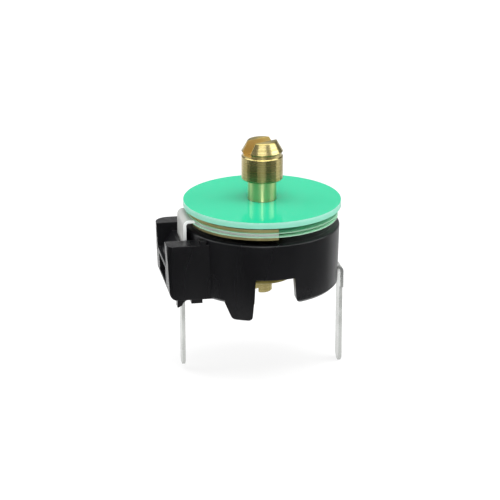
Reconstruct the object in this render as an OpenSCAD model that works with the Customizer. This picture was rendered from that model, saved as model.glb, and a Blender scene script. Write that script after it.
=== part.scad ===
// Film-dielectric trimmer capacitor, 10 mm size, for mounting on a board.
// +Z is up along the spindle. The origin is on the spindle's axis at the board's surface.
// The stator's terminal block points towards -X and the rotor's terminal towards +X.

/* [Housing] */
// Diameter of the moulded housing at its rim
housing_d = 9.82; // [9.4:0.02:10.2]
// Height of the rim above the board
rim_z = 4.95; // [4.6:0.05:5.6]
// How much the housing's radius shrinks from the rim to the board (mould draft)
draft = 0.12; // [0:0.02:0.2]
// Thickness of the skirt wall
wall_t = 0.7; // [0.5:0.05:0.9]
// Thickness of the deck under the plates
deck_t = 0.8; // [0.6:0.05:1.1]
// Depth of the shallow trough in the deck, between its rim and its bearing boss
trough_depth = 0.15; // [0.05:0.05:0.3]
// Width of the rim round that trough
rim_w = 0.45; // [0.3:0.05:0.7]
// Diameter of the bearing boss
boss_d = 3.6; // [3:0.1:4.2]
// Length of the bearing boss, from the deck down to the rotor terminal's pad
boss_len = 3.01; // [2.4:0.01:3.2]
// Height of the skirt's edge above the board, between the feet
skirt_z = 0.99; // [0.7:0.01:1.4]
// Height of the notches in the skirt above the board
notch_z = 2.7; // [2:0.05:3.1]
// Width of those notches at the board
notch_w = 2.8; // [2:0.1:3.2]
// Width of a foot at the board
foot_w = 1.3; // [0.9:0.05:1.6]

/* [Terminal block] */
// How far the block reaches from the spindle's axis
block_reach = 6.52; // [6.2:0.02:7]
// Width of the block
block_w = 6; // [5:0.1:6.6]
// Height of the tops of its two ears above the board
ear_z = 4.6; // [4.2:0.05:4.8]
// Width of the channel between the ears
channel_w = 3.7; // [3:0.1:4]
// Height of the channel's floor beside the stator's tab
floor_z = 4.05; // [3.6:0.05:4.2]

/* [Plates and films] */
// Diameter of the capacitor plates
plate_d = 9.4; // [8.8:0.1:9.5]
// Thickness of the sheet that plates and terminals are stamped from
sheet_t = 0.2; // [0.15:0.01:0.24]
// How far a plate's straight edge lies beyond the spindle's axis
plate_over = 0.2; // [0:0.05:0.4]
// Diameter of the dielectric films
film_d = 9.6; // [9.5:0.05:9.7]
// Thickness of a dielectric film
film_t = 0.05; // [0.03:0.01:0.08]
// Diameter of the cover disc
cover_d = 10; // [9.7:0.05:10.05]
// Thickness of the cover disc
cover_t = 0.38; // [0.3:0.01:0.5]

/* [Spindle] */
// Diameter of the clear shaft above the cover disc
shaft_d = 1.8; // [1.7:0.02:1.9]
// Length of the shaft that shows between the cover disc and the head
shaft_len = 1.32; // [1:0.02:2]
// Diameter of the adjusting head
head_d = 2.62; // [2.4:0.02:2.8]
// Length of the head's straight part
head_len = 1.53; // [1.2:0.01:2]
// Width of the groove above it
groove_w = 0.3; // [0.2:0.05:0.4]
// Depth of that groove
groove_depth = 0.07; // [0.03:0.01:0.1]
// Height of the cone at the top
cone_len = 0.68; // [0.5:0.02:1]
// Diameter of the cone's flat top
top_d = 1.94; // [1.6:0.02:2.1]
// Width of the screwdriver slot in the head
head_slot_w = 0.8; // [0.5:0.05:0.9]
// Depth of that slot
head_slot_depth = 0.88; // [0.6:0.02:1.1]
// Diameter of the bearing journal, which ends in the tail
journal_d = 1.3; // [1.2:0.02:1.4]
// Length of the tail below the tension washer
tail_len = 1; // [0.7:0.05:1.2]
// Width of the slot across the tail
tail_slot_w = 0.7; // [0.4:0.05:0.8]
// Depth of that slot
tail_slot_depth = 0.32; // [0.2:0.02:0.5]
// Direction of both slots, from +X towards +Y
slot_angle = 27; // [0:1:180]

/* [Rings and washer] */
// Outer diameter of the rings between the rotor plates and of the thrust ring
ring_d = 2.7; // [2.4:0.1:3]
// Thickness of the thrust ring under the lower rotor plate
thrust_t = 0.31; // [0.2:0.01:0.5]
// Thickness of the ring that carries the cover disc
cover_ring_t = 0.16; // [0.1:0.01:0.3]
// Outer diameter of the dished tension washer, whose rim bears on the rotor terminal's pad
washer_d = 4; // [3.4:0.1:4.2]
// Overall height of the washer
washer_h = 0.4; // [0.3:0.01:0.5]
// Sheet thickness of the washer
washer_t = 0.14; // [0.1:0.01:0.2]

/* [Terminals] */
// Width of the stator's tab, where it bends down
tab_w = 2.6; // [2:0.1:2.7]
// Space between the housing's rim and the stator's tab, which goes on down as the stator's pin
tab_gap = 0.135; // [0.05:0.005:0.2]
// Width of the stator's pin
stator_pin_w = 0.95; // [0.5:0.05:1]
// Length of the stator's pin below the board's surface
stator_pin_len = 4.34; // [2.5:0.02:5]
// Space between the housing's rim and the rotor's strip, which goes on down as the rotor's pin
strip_gap = 0.05; // [0.03:0.01:0.2]
// Width of the rotor's strip
strip_w = 1.6; // [1.2:0.1:1.8]
// Width of the rotor's pin
rotor_pin_w = 1.05; // [0.6:0.05:1.1]
// Height at which the strip narrows to the pin
shoulder_z = 0.45; // [0.2:0.05:0.8]
// Length of the rotor's pin below the board's surface
rotor_pin_len = 4.77; // [2.5:0.01:5]
// Diameter of the rotor terminal's round pad
pad_d = 3.8; // [3.2:0.1:4]

/* [Fits] */
// Radial running clearance of the journal in its boss
run_clear = 0.03; // [0.02:0.01:0.06]
// Clearance round keyed and inserted pieces
fit_clear = 0.02; // [0.01:0.01:0.04]
// Clearance round a terminal where it passes through the moulding
slip_clear = 0.04; // [0.02:0.01:0.06]

/* [Hidden] */
$fn = 96;
eps = 0.01;
far = 20;

// Radii
rim_r = housing_d / 2;
foot_r = rim_r - draft;
boss_r = boss_d / 2;
journal_r = journal_d / 2;
shaft_r = shaft_d / 2;
head_r = head_d / 2;
plate_r = plate_d / 2;
ring_r = ring_d / 2;
washer_r = washer_d / 2;
bore_r = journal_r + run_clear;

// Heights, from the deck upwards
lower_z = rim_z + thrust_t;
film_lower_z = lower_z + sheet_t;
stator_z = film_lower_z + film_t;
film_upper_z = stator_z + sheet_t;
upper_z = film_upper_z + film_t;
key_z = upper_z + sheet_t;
cover_z = key_z + cover_ring_t;
cover_top_z = cover_z + cover_t;
head_z = cover_top_z + shaft_len;
groove_z = head_z + head_len;
cone_z = groove_z + groove_w;
top_z = cone_z + cone_len;

// Heights, from the boss downwards
boss_z = rim_z - boss_len;
pad_z = boss_z - sheet_t;
washer_z = pad_z - washer_h;
tail_z = washer_z - tail_len;
deck_z = rim_z - deck_t;

// Key on the spindle for the rotor plates: a round with two flats
key_r = journal_r + 0.13;
key_flat = journal_r - 0.07;
key_drop = 0.06;

// Small radii and chamfers of the turned spindle
head_round = 0.06;
shoulder_round = 0.03;
neck_taper = 0.01;
top_round = 0.12;
tail_round = 0.08;
stake_r = journal_r + 0.07;
stake_h = 0.12;
stake_edge = 0.05;

// Small radii and slopes of the moulding
rim_round = 0.1;
corner_front_r = 0.4;
corner_back_r = 0.9;
under_round = 0.5;
foot_round = 0.28;
notch_round = 0.4;
foot_slant = 0.32;
side_slope = 0.06;
block_z = 1.05;
ear_draft = 0.15;
skirt_edge = 0.15;

// Channel between the ears: its floor is flat beside the tab, then falls to the block's end
floor_flat = 0.45;
floor_fall = 1.05;
nose_x = 0.3 - block_reach;

// Recess in the block's end, under the channel's floor
window_w = channel_w - 0.9;
window_x = 0.97 - block_reach;
window_z = 1.6;
window_h = 1.15;
window_round = 0.2;

// Small stop on the front ear, beside the housing's wall
stop_x = 4.45;
stop_w = 0.4;
stop_depth = 0.5;
stop_h = 0.3;

// Hook and peg under the block
hook_x = 5.88;
hook_w = 0.78;
hook_drop = 0.5;
hook_t = 0.6;
hook_tip = 0.05;
peg_x = 4.97;
peg_w = 0.7;
peg_drop = 0.36;
peg_t = 0.5;
root = 0.3;

// Bends of the sheet
bend_in = 0.15;
bend_out = bend_in + sheet_t;
strip_bend_in = 0.2;
strip_bend_out = strip_bend_in + sheet_t;
tip_chamfer = 0.3;
tip_w = 0.4;

// Terminals: where the stator's tab starts, and the inner and outer faces of both pins
stator_hole_r = ring_r + 0.65;
stator_root_x = 1 - plate_r;
pin_inner_x = rim_r + tab_gap;
pin_outer_x = pin_inner_x + sheet_t;
strip_inner_x = rim_r + strip_gap;
strip_outer_x = strip_inner_x + sheet_t;

// Dished washer: a flat bottom with a turned-up rim
washer_rise = 0.05;
washer_hub_r = washer_r * 0.55;
washer_bend = 0.16;

// Points along an arc, from angle a0 to a1
function arc(x, y, r, a0, a1, n = 8) =
    [for (i = [0 : n]) let (a = a0 + (a1 - a0) * i / n) [x + r * cos(a), y + r * sin(a)]];

// Turns an outline drawn in X and Z into a slab of thickness w, centred on Y = 0
module slab(w) {
    translate([0, w / 2, 0]) rotate([90, 0, 0]) linear_extrude(w) children();
}

// ---- Housing ----

// Outer body as it leaves the mould, before anything is hollowed
module housing_body() {
    rotate_extrude()
        polygon(concat(
            [[0, 0], [foot_r, 0]],
            arc(rim_r - rim_round, rim_z - rim_round, rim_round, 0, 90),
            [[rim_r - rim_w, rim_z], [rim_r - rim_w, rim_z - trough_depth],
             [boss_r, rim_z - trough_depth], [boss_r, rim_z], [0, rim_z]]));
}

// Hollow underside: a ring-shaped space between the boss and the skirt
module housing_hollow() {
    rotate_extrude()
        polygon([[0, -1], [0, boss_z], [boss_r - draft, boss_z], [boss_r, deck_z],
                 [rim_r - wall_t, deck_z], [foot_r - wall_t, -1]]);
}

// Plan of the terminal block, with a small front corner and a large back one
module block_plan() {
    half = block_w / 2;
    polygon(concat(
        [[-rim_r / 2, half], [-rim_r / 2, -half]],
        arc(corner_front_r - block_reach, corner_front_r - half, corner_front_r, 270, 180),
        arc(corner_back_r - block_reach, half - corner_back_r, corner_back_r, 180, 90)));
}

// Side view of the block: drafted end and a rounded lower edge
module block_side() {
    end_x = ear_draft - block_reach;
    polygon(concat(
        [[0, ear_z], [-block_reach, ear_z]],
        arc(end_x + under_round, block_z + under_round, under_round, 180, 270),
        [[0, block_z]]));
}

// Side view of the space between the ears, above the channel's floor
module channel_side() {
    polygon([[0, rim_z + 1], [-far, rim_z + 1], [-far, floor_z - floor_fall],
             [nose_x, floor_z - floor_fall], [-pin_inner_x - floor_flat, floor_z], [0, floor_z]]);
}

// Side view of the recess under the channel's floor
module window_side() {
    window_top = window_z + window_h;
    polygon([[-far, window_z], [window_x - window_round, window_z], [window_x, window_z + window_round],
             [window_x, window_top - window_round], [window_x - window_round, window_top],
             [-far, window_top]]);
}

// Hook and peg under the block, beside the stator's pin
module block_hook() {
    hook_y = hook_t / 2 - block_w / 2 + corner_front_r / 4;
    translate([-hook_x, hook_y, block_z])
        slab(hook_t)
            polygon(concat([[0, root], [0, -hook_drop], [hook_tip, -hook_drop]],
                           arc(hook_w, -hook_drop, hook_drop, 165, 90),
                           [[hook_w, root]]));
}

module block_peg() {
    translate([-peg_x, root - block_w / 2, block_z - peg_drop]) cube([peg_w, peg_t, peg_drop + root]);
}

module terminal_block() {
    difference() {
        intersection() {
            linear_extrude(ear_z) block_plan();
            slab(block_w + 1) block_side();
        }
        // channel that the stator's tab goes down, as far as the housing's round wall
        difference() {
            slab(channel_w) channel_side();
            cylinder(r = rim_r, h = rim_z);
        }
        slab(window_w) window_side();
    }
    translate([-stop_x, -block_w / 2, ear_z - root]) cube([stop_w, stop_depth, stop_h + root]);
    block_hook();
    block_peg();
}

// Outline of a foot, in X and Z, and of a notch with or without a rounded outer corner
module foot_side() {
    right = -notch_w / 2;
    left = right - foot_w;
    top = skirt_z + 1 + eps;
    polygon(concat(
        [[right + side_slope * skirt_z, top], [right + side_slope * skirt_z, skirt_z]],
        [[right, foot_round]],
        arc(right - foot_round, foot_round, foot_round, 0, -90, 5),
        arc(left + foot_round, foot_round, foot_round, 270, 200, 5),
        [[left - foot_slant, skirt_z], [left - foot_slant, top]]));
}

module notch_side(rounded) {
    half = notch_w / 2;
    top_half = half - side_slope * notch_z;
    skirt_half = half - side_slope * skirt_z;
    right = rounded
        ? arc(skirt_half + notch_round, skirt_z + notch_round, notch_round, 270, 180, 6)
        : [[half, -1]];
    polygon(concat(
        [[-half, -1]],
        rounded ? [[skirt_half + notch_round, -1]] : [],
        right,
        [[top_half, notch_z], [-top_half, notch_z]]));
}

module toward_front(angle) {
    rotate([0, 0, angle]) translate([0, -rim_r / 2 - 1, 0]) slab(rim_r + 1) children();
}

// What is cleared away below the skirt's edge, leaving the three feet
module below_skirt() {
    difference() {
        translate([0, 0, -1]) cylinder(r = rim_r + 0.5, h = skirt_z + 2);
        translate([0, 0, skirt_z]) cylinder(r1 = foot_r - skirt_edge, r2 = foot_r - skirt_edge + 2, h = 2);
        toward_front(0) foot_side();
        toward_front(180) foot_side();
        mirror([0, 1, 0]) toward_front(0) foot_side();
    }
}

module housing() {
    color("#1e1f22")
    difference() {
        union() {
            difference() {
                housing_body();
                below_skirt();
            }
            terminal_block();
        }
        housing_hollow();
        translate([0, 0, boss_z - 1]) cylinder(r = bore_r, h = rim_z + 2);
        toward_front(0) notch_side(true);
        toward_front(180) notch_side(false);
        // slit that the stator's pin is pressed through
        translate([-pin_outer_x - slip_clear, -stator_pin_w / 2 - slip_clear, -1])
            cube([sheet_t + 2 * slip_clear, stator_pin_w + 2 * slip_clear, rim_z + 1]);
        // notch in the wall that the rotor's strip slides up into
        translate([(boss_r + rim_r) / 2, -strip_w / 2 - slip_clear, -1])
            cube([far, strip_w + 2 * slip_clear, boss_z + 1 + slip_clear]);
    }
}

// ---- Plates ----

// Half disc with its straight edge just beyond the axis
module half_disc() {
    intersection() {
        circle(r = plate_r);
        translate([-far, -far / 2]) square([far + plate_over, far]);
    }
}

// Round with two flats, for the spindle's key and the holes that fit it
module key_shape(clear) {
    rotate(slot_angle)
        intersection() {
            circle(r = key_r + clear);
            square([2 * far, 2 * (key_flat + clear)], center = true);
        }
}

module rotor_plate(z) {
    translate([0, 0, z])
        linear_extrude(sheet_t)
            difference() {
                union() {
                    half_disc();
                    circle(r = ring_r + 0.1);
                }
                key_shape(fit_clear);
            }
}

module rotor_plate_upper() {
    color("#b9a55c") rotor_plate(upper_z);
}

module rotor_plate_lower() {
    color("#a8954f") rotor_plate(lower_z);
}

// Side view of the tab: flat, bent through a right angle, then straight down
module tab_side() {
    bend_x = bend_out - pin_outer_x;
    bend_z = stator_z + sheet_t - bend_out;
    polygon(concat(
        [[stator_root_x, stator_z], [stator_root_x, stator_z + sheet_t]],
        arc(bend_x, bend_z, bend_out, 90, 180),
        [[-pin_outer_x, floor_z], [-pin_inner_x, floor_z]],
        arc(bend_x, bend_z, bend_in, 180, 90)));
}

// Pin as seen along X, with a chamfered tip
module pin_front(w, top, tip) {
    polygon([[-w / 2, top], [w / 2, top], [w / 2, tip + tip_chamfer], [tip_w / 2, tip],
             [-tip_w / 2, tip], [-w / 2, tip + tip_chamfer]]);
}

module stator_plate() {
    color("#c9c9c4")
    union() {
        difference() {
            translate([0, 0, stator_z]) linear_extrude(sheet_t) half_disc();
            translate([0, 0, stator_z - 1]) cylinder(r = stator_hole_r, h = 2);
        }
        slab(tab_w) tab_side();
        translate([-pin_outer_x, 0, 0])
            rotate([90, 0, 90])
                linear_extrude(sheet_t) pin_front(stator_pin_w, floor_z + eps, -stator_pin_len);
    }
}

// ---- Films, cover and rings ----

module ring(outer_r, inner_r, z, t) {
    translate([0, 0, z])
        difference() {
            cylinder(r = outer_r, h = t);
            translate([0, 0, -1]) cylinder(r = inner_r, h = t + 2);
        }
}

module film_upper() {
    color("#7fc9a4") ring(film_d / 2, ring_r + run_clear, film_upper_z, film_t);
}

module film_lower() {
    color("#7fc9a4") ring(film_d / 2, ring_r + run_clear, film_lower_z, film_t);
}

module cover_disc() {
    color("#4fdba6") ring(cover_d / 2, shaft_r + fit_clear, cover_z, cover_t);
}

module cover_ring() {
    color("#b9a55c") ring(ring_r, shaft_r + fit_clear, key_z, cover_ring_t);
}

module spacer_ring() {
    color("#b9a55c") ring(ring_r, key_r + fit_clear, film_lower_z, sheet_t + 2 * film_t);
}

module thrust_ring() {
    color("#a8954f") ring(ring_r, key_r + fit_clear, rim_z, thrust_t);
}

// ---- Spindle ----

module spindle_turned() {
    rotate_extrude()
        polygon(concat(
            [[0, tail_z], [journal_r - tail_round, tail_z], [journal_r, tail_z + tail_round],
             [journal_r, washer_z - stake_h], [stake_r, washer_z - stake_edge], [stake_r, washer_z],
             [journal_r, washer_z], [journal_r, rim_z + key_drop], [key_r, rim_z + key_drop],
             [key_r, key_z], [shaft_r, key_z], [shaft_r, head_z],
             [head_r - head_round, head_z], [head_r, head_z + head_round],
             [head_r, groove_z - shoulder_round], [head_r - groove_depth, groove_z + shoulder_round],
             [head_r - groove_depth - neck_taper, cone_z - groove_depth], [head_r, cone_z]],
            arc(top_d / 2 - top_round, top_z - top_round, top_round, 25, 90, 5),
            [[0, top_z]]));
}

// Flats on the key, cut down to the journal
module key_flats() {
    translate([0, 0, rim_z + key_drop])
        linear_extrude(key_z - rim_z - key_drop)
            difference() {
                circle(r = key_r + 1);
                key_shape(0);
            }
}

module slot(width, z) {
    rotate([0, 0, slot_angle]) translate([-far / 2, -width / 2, z]) cube([far, width, far]);
}

module spindle() {
    color("#b8a45a")
    difference() {
        spindle_turned();
        difference() {
            key_flats();
            cylinder(r = journal_r, h = key_z);
        }
        slot(head_slot_w, top_z - head_slot_depth);
        translate([0, 0, tail_slot_depth + tail_z - far]) slot(tail_slot_w, 0);
    }
}

// ---- Tension washer and rotor terminal ----

module tension_washer() {
    inner_r = journal_r + fit_clear;
    bottom_z = washer_z + washer_rise;
    wall_r = washer_r - washer_t;
    color("#b09c55")
    rotate_extrude()
        polygon(concat(
            [[inner_r, washer_z], [washer_hub_r, washer_z]],
            arc(washer_r - washer_bend, bottom_z + washer_bend, washer_bend, 270, 360, 5),
            [[washer_r, pad_z], [wall_r, pad_z], [wall_r, bottom_z + washer_t],
             [washer_hub_r, washer_z + washer_t], [inner_r, washer_z + washer_t]]));
}

// Side view of the strip: out from the pad, over the bend and down outside the wall
module strip_side() {
    bend_x = strip_outer_x - strip_bend_out;
    bend_z = boss_z - strip_bend_out;
    polygon(concat(
        [[pad_d / 4, pad_z], [pad_d / 4, boss_z]],
        arc(bend_x, bend_z, strip_bend_out, 90, 0),
        [[strip_outer_x, shoulder_z], [strip_inner_x, shoulder_z]],
        arc(bend_x, bend_z, strip_bend_in, 0, 90)));
}

module rotor_terminal() {
    color("#c4c6c2")
    difference() {
        union() {
            translate([0, 0, pad_z]) cylinder(r = pad_d / 2, h = sheet_t);
            slab(strip_w) strip_side();
            translate([strip_inner_x, 0, 0])
                rotate([90, 0, 90])
                    linear_extrude(sheet_t) pin_front(rotor_pin_w, shoulder_z + eps, -rotor_pin_len);
        }
        translate([0, 0, pad_z - 1]) cylinder(r = bore_r, h = sheet_t + 2);
    }
}

housing();
stator_plate();
rotor_plate_upper();
rotor_plate_lower();
film_upper();
film_lower();
cover_disc();
cover_ring();
spacer_ring();
thrust_ring();
spindle();
tension_washer();
rotor_terminal();
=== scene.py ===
import math

import bpy
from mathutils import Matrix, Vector


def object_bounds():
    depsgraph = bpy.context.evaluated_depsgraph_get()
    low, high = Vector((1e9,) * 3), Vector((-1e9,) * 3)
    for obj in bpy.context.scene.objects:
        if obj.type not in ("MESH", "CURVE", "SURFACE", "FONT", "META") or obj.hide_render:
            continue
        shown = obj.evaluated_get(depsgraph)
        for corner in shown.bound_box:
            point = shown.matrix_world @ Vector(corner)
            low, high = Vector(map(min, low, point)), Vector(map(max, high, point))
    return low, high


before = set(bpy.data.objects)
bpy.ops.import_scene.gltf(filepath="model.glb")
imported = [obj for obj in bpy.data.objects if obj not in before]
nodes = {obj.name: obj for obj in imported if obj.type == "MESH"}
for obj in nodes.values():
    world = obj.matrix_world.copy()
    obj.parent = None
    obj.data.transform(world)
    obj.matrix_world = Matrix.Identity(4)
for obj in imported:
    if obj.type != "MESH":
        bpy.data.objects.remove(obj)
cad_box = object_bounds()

MM = 0.001
scene = bpy.context.scene


# ---- Camera ----

# View from the front, a little to the left and above, as a long lens sees it from near by
VIEW_AZIMUTH = -10.0
VIEW_ELEVATION = 19.3
VIEW_DISTANCE = 150 * MM
LENS = 169.5
AIM_RIGHT = -0.764 * MM
AIM_HEIGHT = 3.02 * MM


def direction(azimuth, elevation):
    """Unit vector from the part towards a place: azimuth 0 is the front, -90 the stator's side."""
    turn = math.radians(azimuth)
    rise = math.radians(elevation)
    flat = math.cos(rise)
    return Vector((math.sin(turn) * flat, -math.cos(turn) * flat, math.sin(rise)))


def add_camera():
    """A camera that looks at a point a little to the left of the spindle's axis."""
    away = direction(VIEW_AZIMUTH, VIEW_ELEVATION)
    right = direction(VIEW_AZIMUTH + 90, 0)
    aim = right * AIM_RIGHT + Vector((0, 0, AIM_HEIGHT))
    data = bpy.data.cameras.new("camera")
    data.lens = LENS
    data.sensor_width = 36
    data.clip_start = 10 * MM
    data.clip_end = 10
    camera = bpy.data.objects.new("camera", data)
    scene.collection.objects.link(camera)
    camera.location = aim + away * VIEW_DISTANCE
    camera.rotation_euler = (-away).to_track_quat("-Z", "Y").to_euler()
    scene.camera = camera


# ---- Materials ----

# Sizes and places of the part that the patterns follow, as the CAD has them
SLOT_ANGLE = 27
SLOT_WIDTH = 0.8 * MM
SLOT_BOTTOM = 9.45 * MM
HEAD_TOP = 10.33 * MM
SHAFT_MIDDLE = 7.16 * MM
SHAFT_LENGTH = 1.32 * MM
PLATE_RADIUS = 4.7 * MM
TAB_WIDTH = 2.6 * MM
FILM_RADIUS = 4.8 * MM
DISC_RADIUS = 5 * MM
DISC_TOP = 6.5 * MM

# How near to a face a place counts as lying on it
SKIN = 0.01 * MM

# Between these heights the look of the plates' rims fades into that of the tab and pin below
FADE_LOW = 3 * MM
FADE_HIGH = 4.5 * MM


def colour(code):
    """An sRGB hex colour as linear numbers with full alpha."""
    parts = [int(code[i:i + 2], 16) / 255 for i in (1, 3, 5)]
    linear = [p / 12.92 if p <= 0.04045 else ((p + 0.055) / 1.055) ** 2.4 for p in parts]
    return (*linear, 1)


def per(size, stretch=(1, 1, 1)):
    """Mapping scale at which a pattern repeats about every size metres, longer where stretched."""
    return [1 / (size * s) for s in stretch]


def add_node(tree, kind, settings=None, **inputs):
    """Adds a node. settings are its properties; inputs are values or other nodes, whose first
    output is used, or sockets. An input named _3 is the one with that number."""
    node = tree.nodes.new(kind)
    for name, value in (settings or {}).items():
        setattr(node, name, value)
    for name, value in inputs.items():
        socket = node.inputs[int(name[1:]) if name[0] == "_" else name.replace("_", " ")]
        if isinstance(value, bpy.types.Node):
            value = value.outputs[0]
        if isinstance(value, bpy.types.NodeSocket):
            tree.links.new(value, socket)
        else:
            socket.default_value = value
    return node


def new_material(name):
    """A node material without nodes, its tree, and the place on the piece in metres."""
    material = bpy.data.materials.new(name)
    material.use_nodes = True
    tree = material.node_tree
    tree.nodes.clear()
    place = add_node(tree, "ShaderNodeTexCoord").outputs["Object"]
    return material, tree, place


def axis_distance(tree, place):
    """How far a place on the piece lies from the spindle's axis."""
    flat = add_node(tree, "ShaderNodeVectorMath", {"operation": "MULTIPLY"}, _0=place,
                    _1=(1, 1, 0))
    out = add_node(tree, "ShaderNodeVectorMath", {"operation": "LENGTH"}, _0=flat)
    return out.outputs["Value"]


def moulded_black():
    """Injection-moulded black plastic. The mould's polish gives it a soft sheen, with faint flow
    marks that run up the walls and a very fine grain."""
    material, tree, place = new_material("injection_moulded_black_plastic")
    flow_place = add_node(tree, "ShaderNodeMapping", Vector=place, Scale=per(2.4 * MM, (1, 1, 3)))
    flow = add_node(tree, "ShaderNodeTexNoise", Vector=flow_place, Scale=1.0, Detail=0.5)
    flow_part = add_node(tree, "ShaderNodeMapRange", Value=flow, From_Min=0.1, From_Max=0.9)
    # grain of the spark-eroded mould, 0.09 mm: coarser than the real one, so that it shows
    grain_place = add_node(tree, "ShaderNodeMapping", Vector=place, Scale=per(0.09 * MM))
    grain = add_node(tree, "ShaderNodeTexNoise", Vector=grain_place, Scale=1.0, Detail=2.0)
    tone = add_node(tree, "ShaderNodeMix", {"data_type": "RGBA"}, _0=flow_part,
                    _6=colour("#09090b"), _7=colour("#131315"))
    gloss = add_node(tree, "ShaderNodeMapRange", Value=flow, From_Min=0.1, From_Max=0.9,
                     To_Min=0.24, To_Max=0.32)
    soft_edge = add_node(tree, "ShaderNodeBevel", {"samples": 8}, Radius=0.06 * MM)
    bump = add_node(tree, "ShaderNodeBump", Strength=0.06, Distance=0.004 * MM, Height=grain,
                    Normal=soft_edge)
    shader = add_node(tree, "ShaderNodeBsdfPrincipled", Base_Color=tone.outputs[2],
                      Roughness=gloss, IOR=1.45, Specular_IOR_Level=0.3, Normal=bump)
    add_node(tree, "ShaderNodeOutputMaterial", Surface=shader)
    return material


def turned_brass():
    """Free-cutting brass straight from the lathe: bright, with fine rings left by the tool."""
    material, tree, place = new_material("lathe_turned_brass")
    split = add_node(tree, "ShaderNodeSeparateXYZ", Vector=place)
    along = add_node(tree, "ShaderNodeMath", {"operation": "ADD"}, _0=split.outputs["Z"],
                     _1=axis_distance(tree, place))
    # rings left by the tool, 0.05 mm apart: coarser than the real ones, so that they show
    turns = add_node(tree, "ShaderNodeMath", {"operation": "DIVIDE"}, _0=along, _1=0.05 * MM)
    rings = add_node(tree, "ShaderNodeTexNoise", {"noise_dimensions": "1D"}, W=turns, Scale=1.0,
                     Detail=2.0)
    cloud_place = add_node(tree, "ShaderNodeMapping", Vector=place, Scale=per(0.9 * MM))
    cloud = add_node(tree, "ShaderNodeTexNoise", Vector=cloud_place, Scale=1.0, Detail=4.0)
    # the rings tarnish unevenly, so part of them is darker
    tarnish = add_node(tree, "ShaderNodeMix", _0=0.6, _2=cloud, _3=rings)
    dull_part = add_node(tree, "ShaderNodeMapRange", Value=tarnish, From_Min=0.35, From_Max=0.65)
    turned = add_node(tree, "ShaderNodeMix", {"data_type": "RGBA"}, _0=dull_part,
                      _6=colour("#c2b582"), _7=colour("#94874e"))
    # painted light: the shaft between disc and head is painted paler, for the bright bands it
    # shows; its grooves are also coarser
    shaft = add_node(tree, "ShaderNodeMath", {"operation": "COMPARE"}, _0=split.outputs["Z"],
                     _1=SHAFT_MIDDLE, _2=SHAFT_LENGTH / 2)
    turned = add_node(tree, "ShaderNodeMix", {"data_type": "RGBA"}, _0=shaft,
                      _6=turned.outputs[2], _7=colour("#d6ca98"))
    # the sawn slot is rougher and more orange than what the lathe has turned
    slot_place = add_node(tree, "ShaderNodeMapping", Vector=place,
                          Rotation=(0, 0, -math.radians(SLOT_ANGLE)))
    across = add_node(tree, "ShaderNodeSeparateXYZ", Vector=slot_place).outputs["Y"]
    inside = add_node(tree, "ShaderNodeMath", {"operation": "COMPARE"}, _0=across, _1=0.0,
                      _2=SLOT_WIDTH / 2 + SKIN)
    above = add_node(tree, "ShaderNodeMath", {"operation": "GREATER_THAN"}, _0=split.outputs["Z"],
                     _1=SLOT_BOTTOM - SKIN)
    sawn = add_node(tree, "ShaderNodeMath", {"operation": "MULTIPLY"}, _0=inside, _1=above)
    tone = add_node(tree, "ShaderNodeMix", {"data_type": "RGBA"}, _0=sawn, _6=turned.outputs[2],
                    _7=colour("#c6ac6a"))
    smooth = add_node(tree, "ShaderNodeMapRange", Value=rings, From_Min=0.3, From_Max=0.7,
                      To_Min=0.21, To_Max=0.28)
    faced = add_node(tree, "ShaderNodeMapRange", Value=split.outputs["Z"],
                     From_Min=HEAD_TOP - 0.04 * MM, From_Max=HEAD_TOP, To_Min=0, To_Max=0.2)
    rough = add_node(tree, "ShaderNodeMath", {"operation": "ADD"}, _0=smooth, _1=faced)
    rough = add_node(tree, "ShaderNodeMath", {"operation": "MULTIPLY_ADD"}, _0=shaft, _1=0.09,
                     _2=rough)
    rough = add_node(tree, "ShaderNodeMath", {"operation": "MULTIPLY_ADD"}, _0=sawn, _1=0.25,
                     _2=rough)
    soft_edge = add_node(tree, "ShaderNodeBevel", {"samples": 6}, Radius=0.03 * MM)
    bump = add_node(tree, "ShaderNodeBump", Strength=0.3, Distance=0.004 * MM, Height=rings,
                    Normal=soft_edge)
    # the grooves spread light along the axis, into upright bands
    round_axis = add_node(tree, "ShaderNodeTangent", {"direction_type": "RADIAL", "axis": "Z"})
    shader = add_node(tree, "ShaderNodeBsdfPrincipled", Base_Color=tone.outputs[2], Metallic=1.0,
                      Roughness=rough, Anisotropic=0.6, Anisotropic_Rotation=0.25,
                      Normal=bump, Tangent=round_axis)
    add_node(tree, "ShaderNodeOutputMaterial", Surface=shader)
    return material


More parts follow.
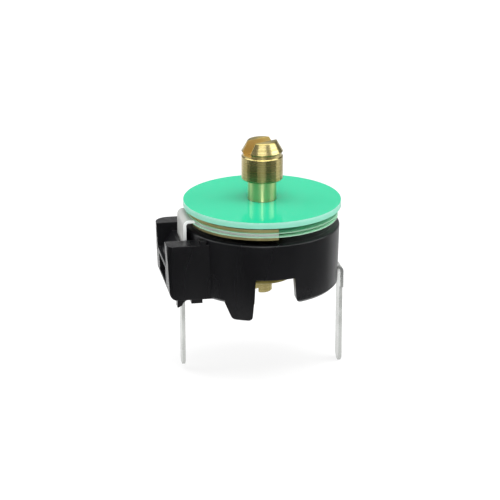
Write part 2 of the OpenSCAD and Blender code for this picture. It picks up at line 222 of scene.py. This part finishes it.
def rolled_sheet(name, light, dark, edge, tab_side_highlight, smooth, rough, grain_along):
    """Rolled sheet metal: fine lines along the rolling direction, and a cloudy tone where the
    surface has dulled in the air. The sheared edge of a plate is paler and scatters light."""
    material, tree, place = new_material(name)
    cloud_place = add_node(tree, "ShaderNodeMapping", Vector=place, Scale=per(1.1 * MM))
    cloud = add_node(tree, "ShaderNodeTexNoise", Vector=cloud_place, Scale=1.0, Detail=4.0)
    cloud_part = add_node(tree, "ShaderNodeMapRange", Value=cloud, From_Min=0.3, From_Max=0.7)
    # rolling lines, 0.08 mm apart: coarser than the real ones, so that they show
    line_place = add_node(tree, "ShaderNodeMapping", Vector=place,
                          Scale=per(0.08 * MM, grain_along))
    lines = add_node(tree, "ShaderNodeTexNoise", Vector=line_place, Scale=1.0, Detail=2.0)
    face = add_node(tree, "ShaderNodeMix", {"data_type": "RGBA"}, _0=cloud_part,
                    _6=colour(light), _7=colour(dark))
    face_gloss = add_node(tree, "ShaderNodeMapRange", Value=cloud, From_Min=0.3, From_Max=0.7,
                          To_Min=smooth, To_Max=rough)
    split = add_node(tree, "ShaderNodeSeparateXYZ", Vector=place)
    outer = add_node(tree, "ShaderNodeMath", {"operation": "GREATER_THAN"},
                     _0=axis_distance(tree, place), _1=PLATE_RADIUS - 2 * SKIN)
    high = add_node(tree, "ShaderNodeMapRange", Value=split.outputs["Z"], From_Min=FADE_LOW,
                    From_Max=FADE_HIGH)
    sheared = add_node(tree, "ShaderNodeMath", {"operation": "MULTIPLY"}, _0=outer, _1=high)
    # the two sides of a bent tab are sheared as well, and are painted palest, a painted highlight
    # where they catch the light
    beside = add_node(tree, "ShaderNodeMath", {"operation": "ABSOLUTE"}, _0=split.outputs["Y"])
    beside = add_node(tree, "ShaderNodeMath", {"operation": "GREATER_THAN"}, _0=beside,
                      _1=TAB_WIDTH / 2 - 2 * SKIN)
    beyond = add_node(tree, "ShaderNodeMath", {"operation": "LESS_THAN"}, _0=split.outputs["X"],
                      _1=-PLATE_RADIUS + 0.2 * MM)
    side = add_node(tree, "ShaderNodeMath", {"operation": "MULTIPLY"}, _0=beside, _1=beyond)
    # shears tear the edge in places and leave it smooth in others
    patchy = add_node(tree, "ShaderNodeMapRange", Value=lines, From_Min=0.35, From_Max=0.65,
                      To_Min=0.5, To_Max=1.0)
    torn_part = add_node(tree, "ShaderNodeMath", {"operation": "MULTIPLY"}, _0=sheared, _1=patchy)
    tone = add_node(tree, "ShaderNodeMix", {"data_type": "RGBA"}, _0=torn_part,
                    _6=face.outputs[2], _7=colour(edge))
    tone = add_node(tree, "ShaderNodeMix", {"data_type": "RGBA"}, _0=side, _6=tone.outputs[2],
                    _7=colour(tab_side_highlight))
    gloss = add_node(tree, "ShaderNodeMix", _0=sheared, _2=face_gloss, _3=0.55)
    # torn metal scatters light so widely that it is drawn as half matt, and more so on the tab
    metal = add_node(tree, "ShaderNodeMapRange", Value=sheared, To_Min=1.0, To_Max=0.5)
    metal = add_node(tree, "ShaderNodeMath", {"operation": "MULTIPLY_ADD"}, _0=side, _1=-0.4,
                     _2=metal)
    soft_edge = add_node(tree, "ShaderNodeBevel", {"samples": 4}, Radius=0.03 * MM)
    bump = add_node(tree, "ShaderNodeBump", Strength=0.2, Distance=0.004 * MM, Height=lines,
                    Normal=soft_edge)
    shader = add_node(tree, "ShaderNodeBsdfPrincipled", Base_Color=tone.outputs[2], Metallic=metal,
                      Roughness=gloss, Normal=bump)
    add_node(tree, "ShaderNodeOutputMaterial", Surface=shader)
    return material


def dielectric_film():
    """Thin cast plastic film: greenish, glossy and a little clear. Its faces are painted paler
    than its cut edge, as painted light for what the green disc lets through onto them; the edge is
    all that shows of it beside the plates."""
    material, tree, place = new_material("cast_green_plastic_film")
    ripple_place = add_node(tree, "ShaderNodeMapping", Vector=place, Scale=per(1.5 * MM))
    ripple = add_node(tree, "ShaderNodeTexNoise", Vector=ripple_place, Scale=1.0, Detail=1.0)
    tone = add_node(tree, "ShaderNodeMix", {"data_type": "RGBA"}, _0=ripple,
                    _6=colour("#93b8a0"), _7=colour("#9cc0a9"))
    rim = add_node(tree, "ShaderNodeMath", {"operation": "GREATER_THAN"},
                   _0=axis_distance(tree, place), _1=FILM_RADIUS - SKIN)
    # painted light: the faces get the paler colour and the cut edge the darker one
    tone = add_node(tree, "ShaderNodeMix", {"data_type": "RGBA"}, _0=rim,
                    _6=colour("#b4ecca"), _7=tone.outputs[2])
    bump = add_node(tree, "ShaderNodeBump", Strength=0.1, Distance=0.01 * MM, Height=ripple)
    shader = add_node(tree, "ShaderNodeBsdfPrincipled", Base_Color=tone.outputs[2], Roughness=0.12,
                      IOR=1.5, Transmission_Weight=0.2, Normal=bump)
    add_node(tree, "ShaderNodeOutputMaterial", Surface=shader)
    return material


def green_disc():
    """Punched disc of translucent green plastic: a glossy face, and a rim that looks frosted where
    the punch has sheared it. The rim's pale colour is partly that frosting and partly a painted
    glow, for light that comes out sideways."""
    material, tree, place = new_material("punched_green_translucent_plastic")
    cloud_place = add_node(tree, "ShaderNodeMapping", Vector=place, Scale=per(4 * MM))
    cloud = add_node(tree, "ShaderNodeTexNoise", Vector=cloud_place, Scale=1.0, Detail=2.0)
    face = add_node(tree, "ShaderNodeMix", {"data_type": "RGBA"}, _0=cloud,
                    _6=colour("#19ae81"), _7=colour("#23b48a"))
    # the sheared band starts within 0.03 mm of the rim
    rim = add_node(tree, "ShaderNodeMapRange", Value=axis_distance(tree, place),
                   From_Min=DISC_RADIUS - 0.03 * MM, From_Max=DISC_RADIUS - SKIN)
    # painted highlight: a paler line along the rim's upper edge
    height = add_node(tree, "ShaderNodeSeparateXYZ", Vector=place).outputs["Z"]
    upper = add_node(tree, "ShaderNodeMapRange", Value=height, From_Min=DISC_TOP - 0.2 * MM,
                     From_Max=DISC_TOP - 0.04 * MM)
    sheared = add_node(tree, "ShaderNodeMix", {"data_type": "RGBA"}, _0=upper,
                       _6=colour("#7abda6"), _7=colour("#90c5b4"))
    tone = add_node(tree, "ShaderNodeMix", {"data_type": "RGBA"}, _0=rim, _6=face.outputs[2],
                    _7=sheared.outputs[2])
    gloss = add_node(tree, "ShaderNodeMapRange", Value=rim, From_Min=0, From_Max=1, To_Min=0.07,
                     To_Max=0.3)
    grain_place = add_node(tree, "ShaderNodeMapping", Vector=place, Scale=per(0.2 * MM))
    grain = add_node(tree, "ShaderNodeTexNoise", Vector=grain_place, Scale=1.0, Detail=2.0)
    bump = add_node(tree, "ShaderNodeBump", Strength=0.03, Distance=0.003 * MM, Height=grain)
    shader = add_node(tree, "ShaderNodeBsdfPrincipled", Base_Color=tone.outputs[2],
                      Roughness=gloss, IOR=1.5, Specular_IOR_Level=0.12,
                      Transmission_Weight=0.15, Normal=bump)
    add_node(tree, "ShaderNodeOutputMaterial", Surface=shader)
    return material


def white_ground():
    """Plain matt white paper. It shows white, also in metal and plastic, and keeps a shadow."""
    material, tree, place = new_material("matt_white_paper")
    path = add_node(tree, "ShaderNodeLightPath")
    seen = add_node(tree, "ShaderNodeMath", {"operation": "MAXIMUM"},
                    _0=path.outputs["Is Camera Ray"], _1=path.outputs["Is Glossy Ray"])
    seen = add_node(tree, "ShaderNodeMath", {"operation": "MAXIMUM"}, _0=seen,
                    _1=path.outputs["Is Transmission Ray"])
    # a fifth of the shading stays, and with it the shadow
    part = add_node(tree, "ShaderNodeMath", {"operation": "MULTIPLY"}, _0=seen, _1=0.8)
    fibre_place = add_node(tree, "ShaderNodeMapping", Vector=place, Scale=per(2 * MM))
    fibre = add_node(tree, "ShaderNodeTexNoise", Vector=fibre_place, Scale=1.0, Detail=2.0)
    tone = add_node(tree, "ShaderNodeMix", {"data_type": "RGBA"}, _0=fibre, _6=colour("#f5f5f5"),
                    _7=colour("#f7f7f7"))
    matt = add_node(tree, "ShaderNodeBsdfDiffuse", Color=tone.outputs[2])
    white = add_node(tree, "ShaderNodeEmission", Color=(1, 1, 1, 1), Strength=1.0)
    front = add_node(tree, "ShaderNodeMixShader", _0=part, _1=matt, _2=white)
    # seen from below it is clear, so that it doesn't hide the part's underside
    below = add_node(tree, "ShaderNodeNewGeometry").outputs["Backfacing"]
    clear = add_node(tree, "ShaderNodeBsdfTransparent")
    mix = add_node(tree, "ShaderNodeMixShader", _0=below, _1=front, _2=clear)
    add_node(tree, "ShaderNodeOutputMaterial", Surface=mix)
    return material


def matt_card(name, light, dark):
    """Matt paper card with a slight mottle."""
    material, tree, place = new_material(name)
    mottle_place = add_node(tree, "ShaderNodeMapping", Vector=place, Scale=per(3 * MM))
    mottle = add_node(tree, "ShaderNodeTexNoise", Vector=mottle_place, Scale=1.0, Detail=2.0)
    tone = add_node(tree, "ShaderNodeMix", {"data_type": "RGBA"}, _0=mottle, _6=colour(light),
                    _7=colour(dark))
    matt = add_node(tree, "ShaderNodeBsdfDiffuse", Color=tone.outputs[2])
    add_node(tree, "ShaderNodeOutputMaterial", Surface=matt)
    return material


def dress(node_name, material):
    """Gives a CAD node its material."""
    slots = nodes[node_name].data.materials
    slots.clear()
    slots.append(material)


# ---- Stage ----

# How far a flag stands from the spindle's axis, and how tall a high and a low flag are
NEAR = 18 * MM
HIGH = 11 * MM
LOW = 5.8 * MM


def add_sheet(name, corners, material):
    """A flat piece of the stage."""
    mesh = bpy.data.meshes.new(name)
    mesh.from_pydata(corners, [], [(0, 1, 2, 3)])
    sheet = bpy.data.objects.new(name, mesh)
    scene.collection.objects.link(sheet)
    sheet.data.materials.append(material)
    return sheet


def add_ground():
    """A plain ground just below the pins' tips, and a low backdrop far behind."""
    half = 400 * MM
    z = cad_box[0][2] - 0.01 * MM
    material = white_ground()
    left, right = (-half, half, z), (half, half, z)
    add_sheet("floor", [(-half, -half, z), (half, -half, z), right, left], material)
    top = z + 200 * MM
    add_sheet("backdrop", [left, right, (half, half, top), (-half, half, top)],
              matt_card("matt_pale_card", "#b4b4b4", "#bababa"))


def add_light(name, azimuth, elevation, distance, size, watts):
    """A rectangular soft light that faces the spindle's axis, 3 mm up. Distance and size are in
    metres."""
    data = bpy.data.lights.new(name, "AREA")
    data.shape = "RECTANGLE"
    data.size = size[0]
    data.size_y = size[1]
    data.energy = watts
    light = bpy.data.objects.new(name, data)
    scene.collection.objects.link(light)
    away = direction(azimuth, elevation)
    light.location = away * distance + Vector((0, 0, 3 * MM))
    light.rotation_euler = (-away).to_track_quat("-Z", "Y").to_euler()


def add_flag(name, start, end, distance, height, material):
    """A card that stands on the floor between two azimuths. It gives the metal and the plastic
    something dark to mirror, and it neither shows nor takes any light away."""
    left = direction(start, 0) * distance
    right = direction(end, 0) * distance
    left.z = right.z = cad_box[0][2]
    up = Vector((0, 0, height))
    flag = add_sheet(name, [left, right, right + up, left + up], material)
    flag.visible_camera = False
    flag.visible_diffuse = False
    flag.visible_transmission = False
    flag.visible_shadow = False


def light_scene():
    """Plain grey world, five soft lights, and the flags round the part."""
    scene.view_settings.view_transform = "Standard"
    world = bpy.data.worlds.new("plain_grey_world")
    scene.world = world
    world.use_nodes = True
    background = world.node_tree.nodes["Background"]
    background.inputs["Color"].default_value = colour("#bdbdbd")
    background.inputs["Strength"].default_value = 0.5
    for name, azimuth, elevation, distance, size, watts in (
            ("top_softbox", 0, 80, 0.35, (0.30, 0.30), 1.5),
            ("left_softbox", -112, 40, 0.35, (0.26, 0.34), 0.75),
            ("right_softbox", 80, 40, 0.35, (0.28, 0.34), 0.95),
            ("front_softbox", -10, 38, 0.35, (0.28, 0.16), 0.25),
            ("front_strip", -9, 14, 0.40, (0.05, 0.25), 0.36)):
        add_light(name, azimuth, elevation, distance, size, watts)
    dark_card = matt_card("matt_black_card", "#161616", "#1b1b1b")
    grey_card = matt_card("matt_grey_card", "#6a6a6a", "#707070")
    pale_card = matt_card("matt_light_grey_card", "#a0a0a0", "#a6a6a6")
    light_card = matt_card("matt_palest_grey_card", "#bebebe", "#c4c4c4")
    for name, start, end, distance, height, card in (
            ("left_black_flag", -80, -36, NEAR, HIGH, dark_card),
            ("front_black_flag", -36, 10, NEAR, LOW, dark_card),
            ("front_grey_flag", -36, 10, NEAR + 0.3 * MM, HIGH, pale_card),
            ("left_grey_flag", -100, -80, NEAR, HIGH, grey_card),
            ("back_left_flag", -140, -100, NEAR, HIGH, light_card),
            ("back_low_flag", -185, -140, NEAR, LOW, light_card),
            ("right_black_flag", 10, 40, NEAR, HIGH, dark_card),
            ("right_grey_flag", 40, 72, NEAR, HIGH, grey_card),
            ("right_low_flag", 72, 98, NEAR, LOW, grey_card),
            ("back_right_flag", 98, 150, NEAR, HIGH, light_card)):
        add_flag(name, start, end, distance, height, card)


add_camera()

black = moulded_black()
brass = turned_brass()
brass_sheet = rolled_sheet("stamped_brass_sheet", "#b0a672", "#8f8553", "#9c9262", "#9c9262",
                           0.28, 0.38, (14, 1, 1))
# a darker copy of the brass sheet for the lower rotor plate: painted shade, for the shade it lies
# in under the upper plate and the disc
shaded_brass_sheet = rolled_sheet("painted_shade_brass_sheet", "#a0965f", "#7d7446", "#736b46", "#736b46",
                                0.3, 0.4, (14, 1, 1))
bronze_sheet = rolled_sheet("stamped_bronze_spring_sheet", "#7d7443", "#6f6638", "#7d7443",
                            "#7d7443", 0.3, 0.4, (14, 1, 1))
# the tin plate's last colour is a painted highlight on the tab's sides
tinned = rolled_sheet("tin_plated_sheet", "#c4c6c3", "#b5b7b4", "#b3b4b0", "#eceeec", 0.2, 0.34,
                      (1, 1, 14))
film = dielectric_film()
green = green_disc()

for name, material in {
        "housing": black, "stator_plate": tinned, "rotor_terminal": tinned,
        "rotor_plate_upper": brass_sheet, "rotor_plate_lower": shaded_brass_sheet,
        "film_upper": film, "film_lower": film, "cover_disc": green, "cover_ring": brass,
        "spacer_ring": brass, "thrust_ring": brass, "spindle": brass,
        "tension_washer": bronze_sheet}.items():
    dress(name, material)

add_ground()
light_scene()
